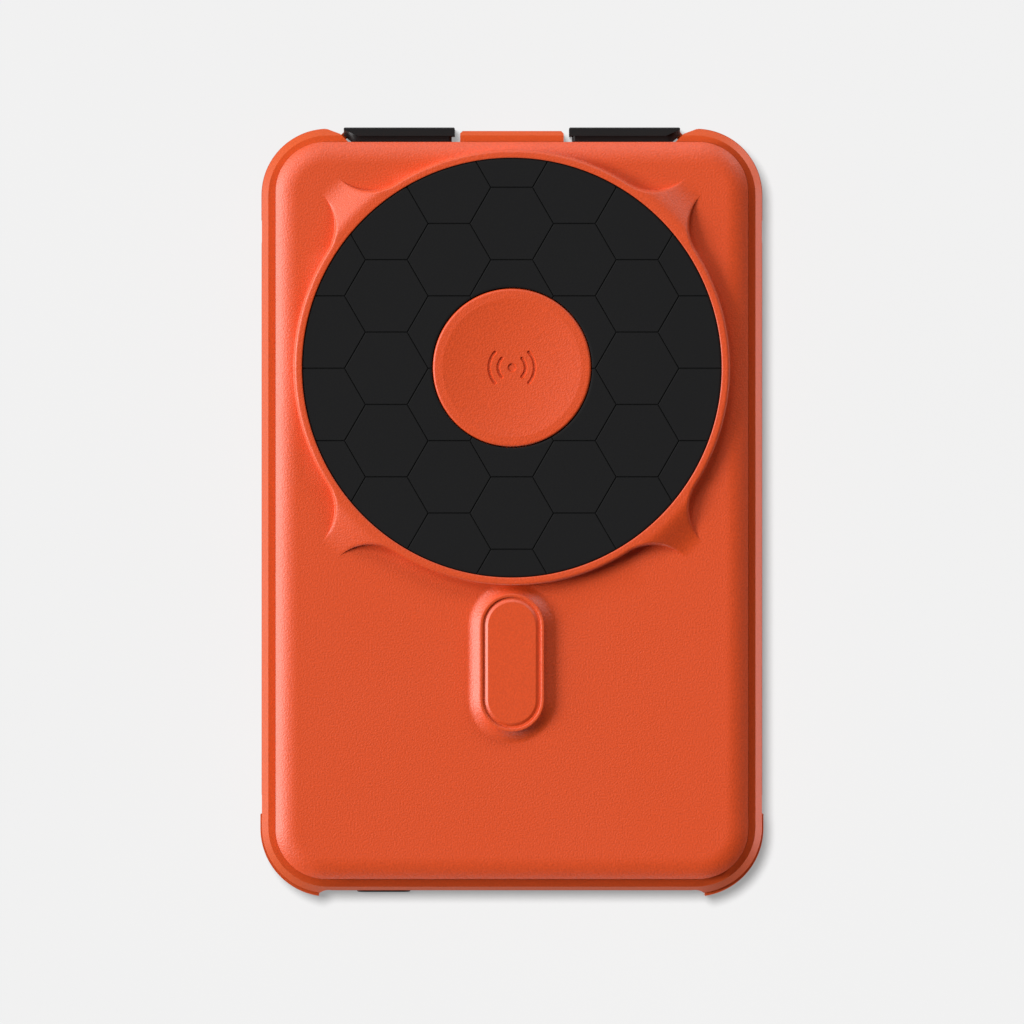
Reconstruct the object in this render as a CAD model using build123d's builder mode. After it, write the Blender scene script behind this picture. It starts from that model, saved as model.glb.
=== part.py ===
from build123d import *
from math import cos, radians, sin
import os

# Rugged magnetic wireless power bank, lying on its back with the charging face up.
# Millimetres.  +X is to the right and +Y towards the ports, seen from above; Z = 0 is the back.

# ---- Driving dimensions: housing outline ----
HALF_WIDTH = 35.73
SHOULDER_Y = 54.69
CHIN_Y = -54.50
EDGE_TOP_Y = 54.40
EDGE_BOTTOM_Y = -54.08
CORNER_R = 9.45
RIM_CHAMFER = 0.93
BACK_EDGE_R = 1.4
LEDGE_Z = 14.8
FLOOR_Z = 1.8
STEP_Z = 13.0

# ---- Driving dimensions: charging face ----
PILLOW_HALF_WIDTH = 33.79
PILLOW_TOP_Y = 52.85
PILLOW_BOTTOM_Y = -52.48
PILLOW_R = 7.15
PILLOW_EDGE_WIDTH = 3.1
PILLOW_BEND_R = 5.2
FACE_Z = 18.0
WALL = 1.6
CEILING_Z = FACE_Z - WALL
FIT_GAP = 0.05

RING_Y = 20.56
RING_R = 31.1
RING_Z = 19.8
PAD_R = 29.92
PAD_Z = 19.6
DISC_R = 11.28
DISC_Z = 19.7
WING_START_R = 31.0
WING_TIP_R = 36.4
SCALLOP_R = 6.6
SCALLOP_ANGLE = 12.6

PILL_Y = -21.54
PILL_TOP_Z = 19.45
PILL_STRAIGHT = 10.5
PILL_RIM_HALF = 4.64
PILL_POCKET_HALF = 4.12
PILL_CAP_HALF = 3.82
PILL_FOOT = 1.75

# ---- Driving dimensions: port covers and their hinges ----
COVER_INNER_X = 8.17
COVER_OUTER_X = 24.03
COVER_TOP_Y = 54.90
COVER_LIP_Y = 53.70
COVER_BACK_Y = 52.90
COVER_LOW_Z = 0.8
COVER_HIGH_Z = 14.75
COVER_STEM_DROP = 0.7
LIP_END_X = 22.0
LIP_END_Y = 54.6
STEM_INSET = 0.45
STEM_HINGE_END_R = 1.9
STEM_INNER_END_R = 0.45
RECESS_Y = 52.75
RECESS_INNER_X = 7.39
HINGE_X = 23.42
HINGE_Y = 54.28
PIN_R = 0.25
KNUCKLE_R = 0.55
KNUCKLE_LOW_Z = 6.5
KNUCKLE_HIGH_Z = 10.5
COVER_BORE_HIGH_Z = 12.6

# ---- Driving dimensions: ports ----
PORT_X = 16.1
PORT_MOUTH_Y = 51.40
USB_C_SIZE = (8.94, 3.26)
USB_A_SIZE = (13.2, 5.7)
USB_C_DEPTH = 7.35
USB_A_DEPTH = 11.5
PLUG_GAP = 0.35

# ---- Driving dimensions: boards, cells, fasteners ----
BOARD_Z = 5.4
BOARD_T = 1.0
BOARD_TOP_Z = BOARD_Z + BOARD_T
POST_X = 28.4
POST_YS = (46.9, -46.8)
POST_R = 3.0
POST_SPLIT_Z = 9.0
INSERT_R = 1.75
INSERT_HIGH_Z = 13.0
SCREW_R = 1.0
SCREW_HEAD_R = 2.1
CELL_HALF_WIDTH = 30.0
CELL_LOW_Y = -42.5
CELL_HIGH_Y = 31.5
CELL_T = 4.8
CELL_1_Z = 2.4
CELL_2_Z = 7.6

# ---- Driving dimensions: power button and charge lights ----
BUTTON_X = -18.34
BUTTON_Z = 7.8
BUTTON_SIZE = (7.7, 3.2)
BUTTON_PROUD = 0.32
LIGHT_XS = (-9.5, -6.5, -3.5, -0.5)
LIGHT_R = 0.8

CAVITY_BOTTOM_Y = PILLOW_BOTTOM_Y + WALL
PORT_Z = {"usb_c": BOARD_TOP_Z + USB_C_SIZE[1] / 2, "usb_a": BOARD_TOP_Z + USB_A_SIZE[1] / 2}
POSTS = [(sx * POST_X, y) for sx in (-1, 1) for y in POST_YS]
BOARD_SCREWS = [(-22.4, 36.9), (22.4, 36.9), (0.0, 48.3)]

pieces = {}


def plan(half_width, low_y, high_y, radius, mode=Mode.ADD):
    """Rounded rectangle centred on X, between two Y limits."""
    with Locations((0, (low_y + high_y) / 2)):
        RectangleRounded(2 * half_width, high_y - low_y, radius, mode=mode)


def stadium(half_width, straight, mode=Mode.ADD):
    """Stadium standing along Y, round the middle of the alignment pill."""
    with Locations((0, PILL_Y)):
        SlotOverall(straight + 2 * half_width, 2 * half_width, rotation=90, mode=mode)


def from_ring(radius, degrees):
    """Point at a radius and an angle from the middle of the charging ring."""
    return (radius * cos(radians(degrees)), RING_Y + radius * sin(radians(degrees)))


def ramp(edge_x, foot_x, low_z, high_z, core_x, base_z):
    """Half section that falls from (edge_x, high_z) in a hollow curve to (foot_x, low_z)."""
    mid_x = edge_x + 0.36 * (foot_x - edge_x)
    mid_z = low_z + 0.36 * (high_z - low_z)
    with BuildLine() as section:
        ThreePointArc((edge_x, high_z), (mid_x, mid_z), (foot_x, low_z))
        Polyline((foot_x, low_z), (foot_x, base_z), (core_x, base_z), (core_x, high_z), (edge_x, high_z))
    make_face(section.edges())


# ---- Housing: the tub that everything is mounted in ----
with BuildPart() as back_shell:
    with BuildSketch(Plane.XY):
        plan(HALF_WIDTH, CHIN_Y, SHOULDER_Y, CORNER_R)
    extrude(amount=LEDGE_Z)
    chamfer(back_shell.edges().group_by(Axis.Z)[-1], RIM_CHAMFER)
    fillet(back_shell.edges().group_by(Axis.Z)[0], BACK_EDGE_R)
    # seat of the charging face, and the deeper cavity below its step
    with BuildSketch(Plane.XY.offset(LEDGE_Z)):
        plan(PILLOW_HALF_WIDTH, PILLOW_BOTTOM_Y, PILLOW_TOP_Y, PILLOW_R)
    extrude(amount=STEP_Z - LEDGE_Z, mode=Mode.SUBTRACT)
    with BuildSketch(Plane.XY.offset(STEP_Z)):
        plan(PILLOW_HALF_WIDTH - WALL, CAVITY_BOTTOM_Y, PILLOW_TOP_Y - WALL, PILLOW_R - WALL)
    extrude(amount=FLOOR_Z - STEP_Z, mode=Mode.SUBTRACT)
    # port edge between the corner shoulders, and the bottom edge between the corners
    with BuildSketch(Plane.XY):
        with Locations((0, EDGE_TOP_Y + 1)):
            Rectangle(2 * RECESS_INNER_X + 2, 2)
    extrude(amount=LEDGE_Z, mode=Mode.SUBTRACT)
    with BuildSketch(Plane.XY):
        with BuildLine():
            Line((-25.7, EDGE_BOTTOM_Y), (25.7, EDGE_BOTTOM_Y))
            ThreePointArc((25.7, EDGE_BOTTOM_Y), (26.9, -54.17), (27.5, CHIN_Y))
            Polyline((27.5, CHIN_Y), (27.5, CHIN_Y - 1), (-27.5, CHIN_Y - 1), (-27.5, CHIN_Y))
            ThreePointArc((-27.5, CHIN_Y), (-26.9, -54.17), (-25.7, EDGE_BOTTOM_Y))
        make_face()
    extrude(amount=LEDGE_Z, mode=Mode.SUBTRACT)
    # recesses that the two port covers close, open to the back
    with BuildSketch(Plane.XY):
        with BuildLine():
            Polyline(
                (RECESS_INNER_X, RECESS_Y), (23.30, RECESS_Y), (24.55, 54.0), (26.45, SHOULDER_Y + 0.02),
                (26.45, 56.0), (RECESS_INNER_X - 0.35, 56.0), (RECESS_INNER_X - 0.35, EDGE_TOP_Y),
                (RECESS_INNER_X, EDGE_TOP_Y - 0.35), (RECESS_INNER_X, RECESS_Y),
            )
        make_face()
        mirror(about=Plane.YZ)
    extrude(amount=LEDGE_Z, mode=Mode.SUBTRACT)
    # one housing knuckle in the middle of each hinge, on an arm from the shoulder slope
    with BuildSketch(Plane.XY.offset(KNUCKLE_LOW_Z)):
        with Locations((HINGE_X, HINGE_Y)):
            Circle(KNUCKLE_R)
        with Locations((HINGE_X + 0.48, HINGE_Y - 0.48)):
            Rectangle(1.36, 0.9, rotation=-45)
        mirror(about=Plane.YZ)
    extrude(amount=KNUCKLE_HIGH_Z - KNUCKLE_LOW_Z)
    with Locations(Plane.XY.offset(KNUCKLE_LOW_Z)):
        with Locations((HINGE_X, HINGE_Y, 0), (-HINGE_X, HINGE_Y, 0)):
            Cylinder(PIN_R + 0.01, KNUCKLE_HIGH_Z - KNUCKLE_LOW_Z,
                     align=(Align.CENTER, Align.CENTER, Align.MIN), mode=Mode.SUBTRACT)
    # port pockets for the cover plugs, then the openings that the sockets fill
    with BuildSketch(Plane((0, RECESS_Y, 0), x_dir=(1, 0, 0), z_dir=(0, -1, 0))):
        with Locations((-PORT_X, PORT_Z["usb_c"])):
            RectangleRounded(USB_C_SIZE[0] + 1.6, USB_C_SIZE[1] + 1.6, 2.2)
        with Locations((PORT_X, PORT_Z["usb_a"])):
            RectangleRounded(USB_A_SIZE[0] + 1.4, USB_A_SIZE[1] + 1.4, 1.2)
    extrude(amount=RECESS_Y - PORT_MOUTH_Y, mode=Mode.SUBTRACT)
    with BuildSketch(Plane((0, RECESS_Y, 0), x_dir=(1, 0, 0), z_dir=(0, -1, 0))):
        with Locations((-PORT_X, PORT_Z["usb_c"])):
            RectangleRounded(USB_C_SIZE[0] + 0.1, USB_C_SIZE[1] + 0.1, 1.6)
        with Locations((PORT_X, PORT_Z["usb_a"])):
            RectangleRounded(USB_A_SIZE[0] + 0.1, USB_A_SIZE[1] + 0.1, 0.6)
    extrude(amount=WALL + 0.5, mode=Mode.SUBTRACT)
    # button window and light windows in the bottom edge
    with BuildSketch(Plane((0, EDGE_BOTTOM_Y, 0), x_dir=(1, 0, 0), z_dir=(0, -1, 0))):
        with Locations((BUTTON_X, BUTTON_Z)):
            SlotOverall(BUTTON_SIZE[0] + 0.2, BUTTON_SIZE[1] + 0.2)
        with Locations(*[(x, BUTTON_Z) for x in LIGHT_XS]):
            Circle(LIGHT_R + FIT_GAP)
    extrude(amount=EDGE_BOTTOM_Y - CAVITY_BOTTOM_Y, mode=Mode.SUBTRACT)
    # screw posts, board standoffs, and the screw holes from the back
    with BuildSketch(Plane.XY.offset(FLOOR_Z)):
        with Locations(*POSTS):
            Circle(POST_R)
    extrude(amount=POST_SPLIT_Z - FLOOR_Z)
    with BuildSketch(Plane.XY.offset(FLOOR_Z)):
        with Locations(*BOARD_SCREWS):
            Circle(2.0)
    extrude(amount=BOARD_Z - FLOOR_Z)
    with BuildSketch(Plane.XY):
        with Locations(*POSTS):
            Circle(SCREW_R + 0.15)
    extrude(amount=POST_SPLIT_Z, mode=Mode.SUBTRACT)
    with BuildSketch(Plane.XY):
        with Locations(*POSTS):
            Circle(SCREW_HEAD_R + 0.2)
    extrude(amount=2.2, mode=Mode.SUBTRACT)
    with BuildSketch(Plane.XY.offset(BOARD_Z)):
        with Locations(*BOARD_SCREWS):
            Circle(0.8)
    extrude(amount=-3.0, mode=Mode.SUBTRACT)
    # shallow panel sunk in the back
    with BuildSketch(Plane.XY):
        RectangleRounded(48, 82, 6)
    extrude(amount=0.4, mode=Mode.SUBTRACT)

GUARD_LOW_Z = 1.6
GUARD_HIGH_Z = 13.5
GUARD_DEPTH = 1.2
TOP_GUARD = {"half": 35.79, "reach_y": 54.74, "radius": 9.5, "window_x": 26.6, "window_y": 41.6}
BOTTOM_GUARD = {"half": 35.94, "reach_y": 54.99, "radius": 9.74, "window_x": 27.56, "window_y": 43.2}


def guard_ring(guard, side_x, side_y, inset):
    """Corner piece of a ring round the housing, inset by that much from the guard's seat."""
    depth = GUARD_DEPTH - inset
    low = -guard["reach_y"] if side_y < 0 else CHIN_Y
    high = guard["reach_y"] if side_y > 0 else SHOULDER_Y
    plan(guard["half"], low, high, guard["radius"])
    plan(HALF_WIDTH - depth, CHIN_Y + depth, SHOULDER_Y - depth, CORNER_R - depth, Mode.SUBTRACT)
    window_w = HALF_WIDTH + 1 - guard["window_x"] - inset
    window_h = SHOULDER_Y + 1 - guard["window_y"] - inset
    with Locations((side_x * (HALF_WIDTH + 1 - window_w / 2), side_y * (SHOULDER_Y + 1 - window_h / 2))):
        Rectangle(window_w, window_h, mode=Mode.INTERSECT)


# ---- Soft corner guards, set into the housing corners ----
CORNERS = {
    "corner_guard_top_left": (TOP_GUARD, -1, 1),
    "corner_guard_top_right": (TOP_GUARD, 1, 1),
    "corner_guard_bottom_left": (BOTTOM_GUARD, -1, -1),
    "corner_guard_bottom_right": (BOTTOM_GUARD, 1, -1),
}
with BuildPart() as guard_seats:
    for seat_guard, seat_x, seat_y in CORNERS.values():
        with BuildSketch(Plane.XY.offset(GUARD_LOW_Z)):
            guard_ring(seat_guard, seat_x, seat_y, 0.0)
        extrude(amount=GUARD_HIGH_Z - GUARD_LOW_Z)
for guard_name, (corner, corner_x, corner_y) in CORNERS.items():
    with BuildPart() as corner_guard:
        with BuildSketch(Plane.XY.offset(GUARD_LOW_Z + FIT_GAP)):
            guard_ring(corner, corner_x, corner_y, 0.03)
        extrude(amount=GUARD_HIGH_Z - GUARD_LOW_Z - 2 * FIT_GAP)
    pieces[guard_name] = corner_guard

# ---- Ribbed grip strips along the two long sides ----
GRIP_LOW_Y = -40.5
GRIP_HIGH_Y = 38.5
GRIP_LOW_Z = 3.2
GRIP_HIGH_Z = 12.2
GRIP_DEPTH = 1.0
GRIP_PROUD = 0.05
GRIP_RIB_PITCH = 2.5
grip_length = GRIP_HIGH_Y - GRIP_LOW_Y
grip_middle = (GRIP_HIGH_Y + GRIP_LOW_Y) / 2
grip_height = GRIP_HIGH_Z - GRIP_LOW_Z
with BuildPart() as grip_seats:
    with Locations((HALF_WIDTH, grip_middle, GRIP_LOW_Z), (-HALF_WIDTH, grip_middle, GRIP_LOW_Z)):
        Box(2 * GRIP_DEPTH, grip_length, grip_height, align=(Align.CENTER, Align.CENTER, Align.MIN))
with BuildPart(mode=Mode.PRIVATE) as housing:
    add(back_shell.part)
    add(guard_seats.part, mode=Mode.SUBTRACT)
    add(grip_seats.part, mode=Mode.SUBTRACT)
pieces["back_shell"] = housing
for grip_name, grip_side in (("side_grip_left", -1), ("side_grip_right", 1)):
    with BuildPart() as side_grip:
        grip_x = HALF_WIDTH + GRIP_PROUD - (GRIP_DEPTH + GRIP_PROUD - FIT_GAP) / 2
        with Locations((grip_side * grip_x, grip_middle, GRIP_LOW_Z + FIT_GAP)):
            Box(GRIP_DEPTH + GRIP_PROUD - FIT_GAP, grip_length - 2 * FIT_GAP, grip_height - 2 * FIT_GAP,
                align=(Align.CENTER, Align.CENTER, Align.MIN))
        groove_plane = Plane.XY.offset(GRIP_LOW_Z + 1.2)
        with BuildSketch(groove_plane):
            with Locations((grip_side * (HALF_WIDTH + GRIP_PROUD), grip_middle)):
                with GridLocations(1, GRIP_RIB_PITCH, 1, int(grip_length / GRIP_RIB_PITCH) - 1):
                    Rectangle(0.9, 0.9, rotation=45)
        extrude(amount=grip_height - 2.4, mode=Mode.SUBTRACT)
    pieces[grip_name] = side_grip

# ---- Charging face: pillow, ring, wings and the seat of the alignment pill ----
with BuildPart() as front_shell:
    # a wider block with a broad round edge, trimmed to the outline of the pillow
    with BuildSketch(Plane.XY.offset(STEP_Z - 1)):
        wider = PILLOW_BEND_R - PILLOW_EDGE_WIDTH
        plan(PILLOW_HALF_WIDTH + wider, PILLOW_BOTTOM_Y - wider, PILLOW_TOP_Y + wider, PILLOW_R + wider)
    extrude(amount=FACE_Z - STEP_Z + 1)
    fillet(front_shell.edges().group_by(Axis.Z)[-1], PILLOW_BEND_R)
    with BuildSketch(Plane.XY.offset(STEP_Z + 0.5)):
        plan(PILLOW_HALF_WIDTH - FIT_GAP, PILLOW_BOTTOM_Y + FIT_GAP, PILLOW_TOP_Y - FIT_GAP,
             PILLOW_R - FIT_GAP)
    extrude(amount=FACE_Z - STEP_Z - 0.5, mode=Mode.INTERSECT)
    with BuildSketch(Plane.XY.offset(CEILING_Z)):
        with Locations((0, RING_Y)):
            Circle(RING_R)
    extrude(amount=RING_Z - CEILING_Z)
    fillet(front_shell.edges().group_by(Axis.Z)[-1], 0.45)
    # hollow inside
    with BuildSketch(Plane.XY.offset(STEP_Z + 0.5)):
        inner = WALL + FIT_GAP
        plan(PILLOW_HALF_WIDTH - inner, PILLOW_BOTTOM_Y + inner, PILLOW_TOP_Y - inner, PILLOW_R - inner)
    extrude(amount=CEILING_Z - STEP_Z - 0.5, mode=Mode.SUBTRACT)
    # posts that take the threaded inserts
    with BuildSketch(Plane.XY.offset(POST_SPLIT_Z)):
        with Locations(*POSTS):
            Circle(POST_R - 0.1)
    extrude(amount=CEILING_Z - POST_SPLIT_Z + 0.2)
    with BuildSketch(Plane.XY.offset(POST_SPLIT_Z)):
        with Locations(*POSTS):
            Circle(INSERT_R + 0.01)
    extrude(amount=INSERT_HIGH_Z - POST_SPLIT_Z, mode=Mode.SUBTRACT)

# four wings: an S-shaped slope round the ring, kept between pairs of scallops
with BuildPart() as wings:
    with BuildSketch(Plane((0, RING_Y, 0), x_dir=(1, 0, 0), z_dir=(0, -1, 0))):
        with BuildLine():
            Spline((WING_START_R, RING_Z), (WING_TIP_R, FACE_Z), tangents=((1, -0.02), (1, -0.02)))
            Polyline(
                (WING_TIP_R, FACE_Z), (WING_TIP_R, FACE_Z - 0.8), (RING_R - 1, FACE_Z - 0.8),
                (RING_R - 1, RING_Z), (WING_START_R, RING_Z),
            )
        make_face()
    revolve(axis=Axis((0, RING_Y, 0), (0, 0, 1)))
with BuildPart() as wing_plan:
    with BuildSketch(Plane.XY.offset(FACE_Z - 1)):
        for diagonal in (45, 135, 225, 315):
            with BuildLine():
                Polyline(
                    (0, RING_Y), from_ring(WING_TIP_R + 1, diagonal + SCALLOP_ANGLE),
                    from_ring(WING_TIP_R + 1, diagonal - SCALLOP_ANGLE), (0, RING_Y),
                )
            make_face()
        for diagonal in (45, 135, 225, 315):
            for lean in (-SCALLOP_ANGLE, SCALLOP_ANGLE):
                with Locations(from_ring(RING_R + SCALLOP_R, diagonal + lean)):
                    Circle(SCALLOP_R, mode=Mode.SUBTRACT)
    extrude(amount=4)
with BuildPart() as pill_boss:
    with BuildSketch(Plane((0, PILL_Y - PILL_STRAIGHT / 2, 0), x_dir=(1, 0, 0), z_dir=(0, -1, 0))):
        ramp(PILL_RIM_HALF, PILL_RIM_HALF + PILL_FOOT, FACE_Z, PILL_TOP_Z, 0, FACE_Z - 0.8)
    revolve(axis=Axis((0, PILL_Y - PILL_STRAIGHT / 2, 0), (0, 0, 1)))
    with BuildSketch(Plane((0, PILL_Y + PILL_STRAIGHT / 2, 0), x_dir=(1, 0, 0), z_dir=(0, -1, 0))):
        ramp(PILL_RIM_HALF, PILL_RIM_HALF + PILL_FOOT, FACE_Z, PILL_TOP_Z, 0, FACE_Z - 0.8)
    revolve(axis=Axis((0, PILL_Y + PILL_STRAIGHT / 2, 0), (0, 0, 1)))
    with BuildSketch(Plane((0, PILL_Y + PILL_STRAIGHT / 2, 0), x_dir=(1, 0, 0), z_dir=(0, -1, 0))):
        ramp(PILL_RIM_HALF, PILL_RIM_HALF + PILL_FOOT, FACE_Z, PILL_TOP_Z, 0, FACE_Z - 0.8)
        mirror(about=Plane.YZ)
    extrude(amount=PILL_STRAIGHT)
with BuildPart(mode=Mode.PRIVATE) as face_shell:
    add(wings.part)
    add(wing_plan.part, mode=Mode.INTERSECT)
    add(front_shell.part)
    add(pill_boss.part)
    with BuildSketch(Plane.XY.offset(FACE_Z)):
        with Locations((0, RING_Y)):
            Circle(PAD_R + 0.03)
    extrude(amount=3, mode=Mode.SUBTRACT)
    with BuildSketch(Plane.XY.offset(PILL_TOP_Z - 1.2)):
        stadium(PILL_POCKET_HALF, PILL_STRAIGHT)
    extrude(amount=3, mode=Mode.SUBTRACT)
pieces["front_shell"] = face_shell

# ---- Seal between the two housing halves ----
with BuildPart() as seal_gasket:
    with BuildSketch(Plane.XY.offset(STEP_Z)):
        plan(PILLOW_HALF_WIDTH - 0.3, PILLOW_BOTTOM_Y + 0.3, PILLOW_TOP_Y - 0.3, PILLOW_R - 0.3)
        plan(PILLOW_HALF_WIDTH - WALL + 0.1, CAVITY_BOTTOM_Y - 0.1, PILLOW_TOP_Y - WALL + 0.1,
             PILLOW_R - WALL + 0.1, Mode.SUBTRACT)
    extrude(amount=0.5)
pieces["seal_gasket"] = seal_gasket

# ---- Soft charging pad with hexagon tiles, and the dished disc in its middle ----
HEX_FLATS = 10.33
HEX_GROOVE = 0.18
GROOVE_DEPTH = 0.15
with BuildPart() as hex_pad:
    with BuildSketch(Plane.XY.offset(FACE_Z)):
        with Locations((0, RING_Y)):
            Circle(PAD_R)
            Circle(DISC_R + 0.12, mode=Mode.SUBTRACT)
    extrude(amount=PAD_Z - GROOVE_DEPTH - FACE_Z)
    with BuildSketch(Plane.XY.offset(PAD_Z - GROOVE_DEPTH)) as tiles:
        with Locations((0, RING_Y)):
            with HexLocations(HEX_FLATS / 2, 9, 9, major_radius=False):
                RegularPolygon((HEX_FLATS - HEX_GROOVE) / 2, 6, major_radius=False)
            Circle(PAD_R, mode=Mode.INTERSECT)
            Circle(DISC_R + 0.12, mode=Mode.SUBTRACT)
    extrude(amount=GROOVE_DEPTH)
pieces["hex_pad"] = hex_pad

DISH_R = 9.9
DISH_DEPTH = 0.55
GLYPH_LINE = 0.42
GLYPH_DEPTH = 0.22
dish_sphere_r = (DISH_R ** 2 + DISH_DEPTH ** 2) / (2 * DISH_DEPTH)
with BuildPart() as centre_disc:
    with BuildSketch(Plane.XY.offset(FACE_Z)):
        with Locations((0, RING_Y)):
            Circle(DISC_R)
    extrude(amount=DISC_Z - FACE_Z)
    fillet(centre_disc.edges().group_by(Axis.Z)[-1], 0.3)
    with Locations((0, RING_Y, DISC_Z - DISH_DEPTH + dish_sphere_r)):
        Sphere(dish_sphere_r, mode=Mode.SUBTRACT)
    # sunk sign: a dot between two pairs of arcs
    with BuildSketch(Plane.XY.offset(DISC_Z - DISH_DEPTH - GLYPH_DEPTH)):
        with Locations((0, RING_Y)):
            Circle(0.62)
        for arc_r in (1.95, 3.25):
            for arc_side in (0, 180):
                with BuildLine() as sign_arc:
                    CenterArc((0, RING_Y), arc_r, arc_side - 42, 84)
                trace(sign_arc.edges(), line_width=GLYPH_LINE)
    extrude(amount=1, mode=Mode.SUBTRACT)
pieces["centre_disc"] = centre_disc

# ---- Alignment pill: fixed cap over the bar magnet ----
with BuildPart() as alignment_cap:
    with BuildSketch(Plane.XY.offset(PILL_TOP_Z - 1.2)):
        stadium(PILL_CAP_HALF, PILL_STRAIGHT)
    extrude(amount=1.2)
    chamfer(alignment_cap.edges().group_by(Axis.Z)[-1], 0.42)
pieces["alignment_cap"] = alignment_cap
with BuildPart() as alignment_magnet:
    with BuildSketch(Plane.XY.offset(CEILING_Z - 1.5)):
        with Locations((0, PILL_Y)):
            RectangleRounded(6, 19, 0.6)
    extrude(amount=1.5)
pieces["alignment_magnet"] = alignment_magnet

# ---- Wireless charging stack under the ring ----
CARRIER_Z = 13.3
CARRIER_R = 29.3
MAGNET_IN_R = 23.2
MAGNET_OUT_R = 27.8
SHUNT_T = 0.3
COIL_IN_R = 9.5
COIL_PITCH = 1.1
COIL_WIRE = 0.9
COIL_HALF_TURNS = 20
MAGNET_COUNT = 16
with BuildPart() as coil_carrier:
    with BuildSketch(Plane.XY.offset(CARRIER_Z)):
        with Locations((0, RING_Y)):
            Circle(CARRIER_R)
            Circle(4.0, mode=Mode.SUBTRACT)
    extrude(amount=0.8)
    with BuildSketch(Plane.XY.offset(CARRIER_Z + 0.8)):
        with Locations((0, RING_Y)):
            Circle(CARRIER_R)
            Circle(MAGNET_OUT_R + 0.2, mode=Mode.SUBTRACT)
    extrude(amount=CEILING_Z - CARRIER_Z - 0.8)
pieces["coil_carrier"] = coil_carrier
with BuildPart() as magnet_shunt:
    with BuildSketch(Plane.XY.offset(CARRIER_Z + 0.8)):
        with Locations((0, RING_Y)):
            Circle(MAGNET_OUT_R)
            Circle(MAGNET_IN_R, mode=Mode.SUBTRACT)
    extrude(amount=SHUNT_T)
pieces["magnet_shunt"] = magnet_shunt
with BuildPart() as magnet_ring:
    with BuildSketch(Plane.XY.offset(CARRIER_Z + 0.8 + SHUNT_T)):
        with Locations((0, RING_Y)):
            Circle(MAGNET_OUT_R)
            Circle(MAGNET_IN_R, mode=Mode.SUBTRACT)
            with PolarLocations((MAGNET_IN_R + MAGNET_OUT_R) / 2, MAGNET_COUNT):
                Rectangle(8, 0.5, mode=Mode.SUBTRACT)
    extrude(amount=1.8)
pieces["magnet_ring"] = magnet_ring
with BuildPart() as coil_ferrite:
    with BuildSketch(Plane.XY.offset(CARRIER_Z + 0.8)):
        with Locations((0, RING_Y)):
            Circle(22.6)
            Circle(4.0, mode=Mode.SUBTRACT)
    extrude(amount=0.7)
pieces["coil_ferrite"] = coil_ferrite
with BuildPart() as charging_coil:
    with BuildSketch(Plane.XY.offset(CARRIER_Z + 1.55)):
        with BuildLine(Plane.XY.offset(CARRIER_Z + 1.55)):
            for half_turn in range(COIL_HALF_TURNS):
                arc_centre = (COIL_PITCH / 2 * (half_turn % 2), RING_Y)
                arc_inner = COIL_IN_R + COIL_PITCH / 2 * half_turn
                CenterArc(arc_centre, arc_inner, 180 * (half_turn % 2), 180)
                CenterArc(arc_centre, arc_inner + COIL_WIRE, 180 * (half_turn % 2), 180)
            coil_end = COIL_IN_R + COIL_PITCH / 2 * COIL_HALF_TURNS
            Line((COIL_IN_R, RING_Y), (COIL_IN_R + COIL_WIRE, RING_Y))
            Line((coil_end, RING_Y), (coil_end + COIL_WIRE, RING_Y))
        make_face()
    extrude(amount=COIL_WIRE)
pieces["charging_coil"] = charging_coil
with BuildPart() as coil_leads:
    with BuildSketch(Plane.XY.offset(BOARD_TOP_Z)):
        with Locations((-2.4, 35.9), (2.4, 35.9)):
            Circle(0.6)
    extrude(amount=CARRIER_Z - BOARD_TOP_Z)
pieces["coil_leads"] = coil_leads

# ---- Battery: two pouch cells, foam, tray, tabs and the shield above them ----
SHIELD_Z = 12.5
for cell_name, cell_z in (("battery_cell_lower", CELL_1_Z), ("battery_cell_upper", CELL_2_Z)):
    with BuildPart() as battery_cell:
        with BuildSketch(Plane.XY.offset(cell_z)):
            plan(CELL_HALF_WIDTH, CELL_LOW_Y, CELL_HIGH_Y, 1.5)
        extrude(amount=CELL_T)
        fillet(battery_cell.edges().filter_by(Plane.XY), 1.0)
    pieces[cell_name] = battery_cell
for foam_name, foam_z, foam_t in (
    ("cell_foam_lower", FLOOR_Z, CELL_1_Z - FLOOR_Z),
    ("cell_foam_middle", CELL_1_Z + CELL_T, CELL_2_Z - CELL_1_Z - CELL_T),
):
    with BuildPart() as cell_foam:
        with BuildSketch(Plane.XY.offset(foam_z)):
            plan(CELL_HALF_WIDTH - 2, CELL_LOW_Y + 2, CELL_HIGH_Y - 2, 3)
        extrude(amount=foam_t)
    pieces[foam_name] = cell_foam
with BuildPart() as cell_tray:
    with BuildSketch(Plane.XY.offset(FLOOR_Z)):
        plan(31.8, CELL_LOW_Y - 0.9, CELL_HIGH_Y + 1.5, 2.5)
        plan(CELL_HALF_WIDTH + 0.3, CELL_LOW_Y - 0.2, CELL_HIGH_Y + 0.3, 1.6, Mode.SUBTRACT)
    extrude(amount=SHIELD_Z - FLOOR_Z)
    with Locations((0, CELL_HIGH_Y + 0.9, BOARD_TOP_Z + 0.1)):
        Box(20, 3, 0.6, mode=Mode.SUBTRACT)
pieces["cell_tray"] = cell_tray
with BuildPart() as battery_tabs:
    with Locations((-6, CELL_HIGH_Y + 2.2, BOARD_TOP_Z), (6, CELL_HIGH_Y + 2.2, BOARD_TOP_Z)):
        Box(4, 4.4, 0.2, align=(Align.CENTER, Align.CENTER, Align.MIN))
pieces["battery_tabs"] = battery_tabs
with BuildPart() as shield_plate:
    with BuildSketch(Plane.XY.offset(SHIELD_Z)):
        plan(31.0, CELL_LOW_Y - 0.5, CELL_HIGH_Y + 1.2, 2.5)
        with GridLocations(50, 60, 2, 2):
            Circle(1.5, mode=Mode.SUBTRACT)
    extrude(amount=0.3)
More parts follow.
